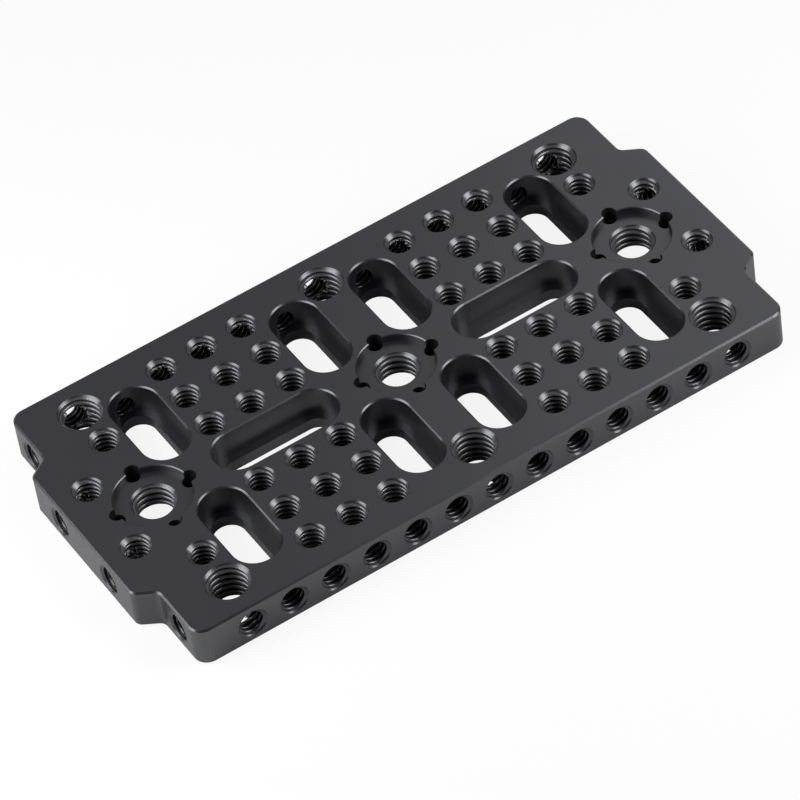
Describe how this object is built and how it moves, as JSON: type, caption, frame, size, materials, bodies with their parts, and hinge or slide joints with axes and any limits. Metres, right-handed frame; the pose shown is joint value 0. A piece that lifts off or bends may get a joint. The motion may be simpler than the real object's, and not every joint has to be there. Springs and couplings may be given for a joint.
{
  "type": "camera cheese plate",
  "caption": "Flat milled mounting plate for camera rigs, with a grid of tapped holes, stepped slots for clamping screws and tapped holes along its edges.",
  "frame": {"origin": "centre of the plate's lower face", "axes": "+X along the plate's length, +Y across it, +Z out of the upper face, the one with the wide side of the slots"},
  "size_m": [0.155, 0.0776, 0.01],
  "materials": {
    "anodised": "black anodised, fine satin"
  },
  "bodies": {
    "root": {"plate": "anodised"}
  },
  "joints": []
}
